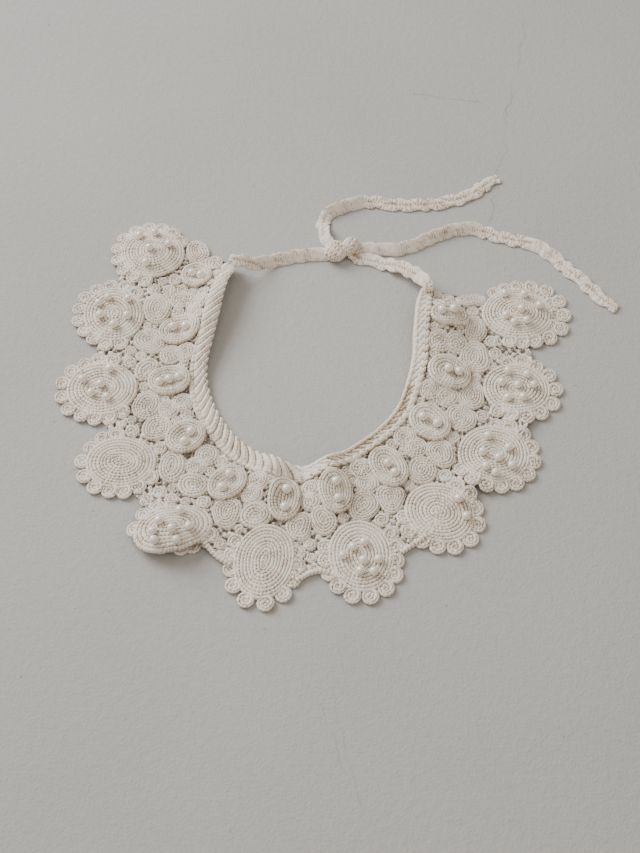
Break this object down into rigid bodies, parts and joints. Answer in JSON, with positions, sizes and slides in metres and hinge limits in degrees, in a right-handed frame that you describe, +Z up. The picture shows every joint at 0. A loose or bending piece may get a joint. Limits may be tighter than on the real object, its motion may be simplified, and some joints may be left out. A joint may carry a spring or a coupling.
{
  "type": "crocheted collar",
  "caption": "Crocheted cotton collar laid flat: ribbed neckband, small ovals, shell-edged petals, tape ties knotted behind the open neck.",
  "frame": {"origin": "on the table, under the middle of the collar's own box, ties left out", "axes": "+X towards the right as laid, along the collar's longest extent; +Y from the centre front towards the ties; +Z up from the table"},
  "size_m": [0.3086, 0.2767, 0.015],
  "materials": {
    "cotton": "matt crocheted cotton"
  },
  "bodies": {
    "root": {"bud_01": "cotton", "bud_02": "cotton", "bud_03": "cotton", "bud_04": "cotton", "bud_05": "cotton", "bud_06": "cotton", "bud_07": "cotton", "bud_08": "cotton", "bud_09": "cotton", "bud_10": "cotton", "bud_11": "cotton", "knot": "cotton", "leaf_01": "cotton", "leaf_02": "cotton", "leaf_03": "cotton", "leaf_04": "cotton", "leaf_05": "cotton", "leaf_06": "cotton", "leaf_07": "cotton", "leaf_08": "cotton", "leaf_09": "cotton", "leaf_10": "cotton", "leaf_11": "cotton", "leaf_12": "cotton", "leaf_13": "cotton", "leaf_14": "cotton", "leaf_15": "cotton", "leaf_16": "cotton", "leaf_17": "cotton", "leaf_18": "cotton", "leaf_19": "cotton", "leaf_20": "cotton", "leaf_21": "cotton", "leaf_22": "cotton", "neckband": "cotton", "petal_01": "cotton", "petal_02": "cotton", "petal_03": "cotton", "petal_04": "cotton", "petal_05": "cotton", "petal_06": "cotton", "petal_07": "cotton", "petal_08": "cotton", "petal_09": "cotton", "petal_10": "cotton", "petal_11": "cotton", "tail_back": "cotton", "tail_front": "cotton", "tie_left": "cotton", "tie_right": "cotton", "twin_01": "cotton", "twin_02": "cotton", "twin_03": "cotton", "twin_04": "cotton", "twin_05": "cotton", "twin_06": "cotton", "twin_07": "cotton", "twin_08": "cotton", "twin_09": "cotton", "twin_10": "cotton"}
  },
  "joints": []
}
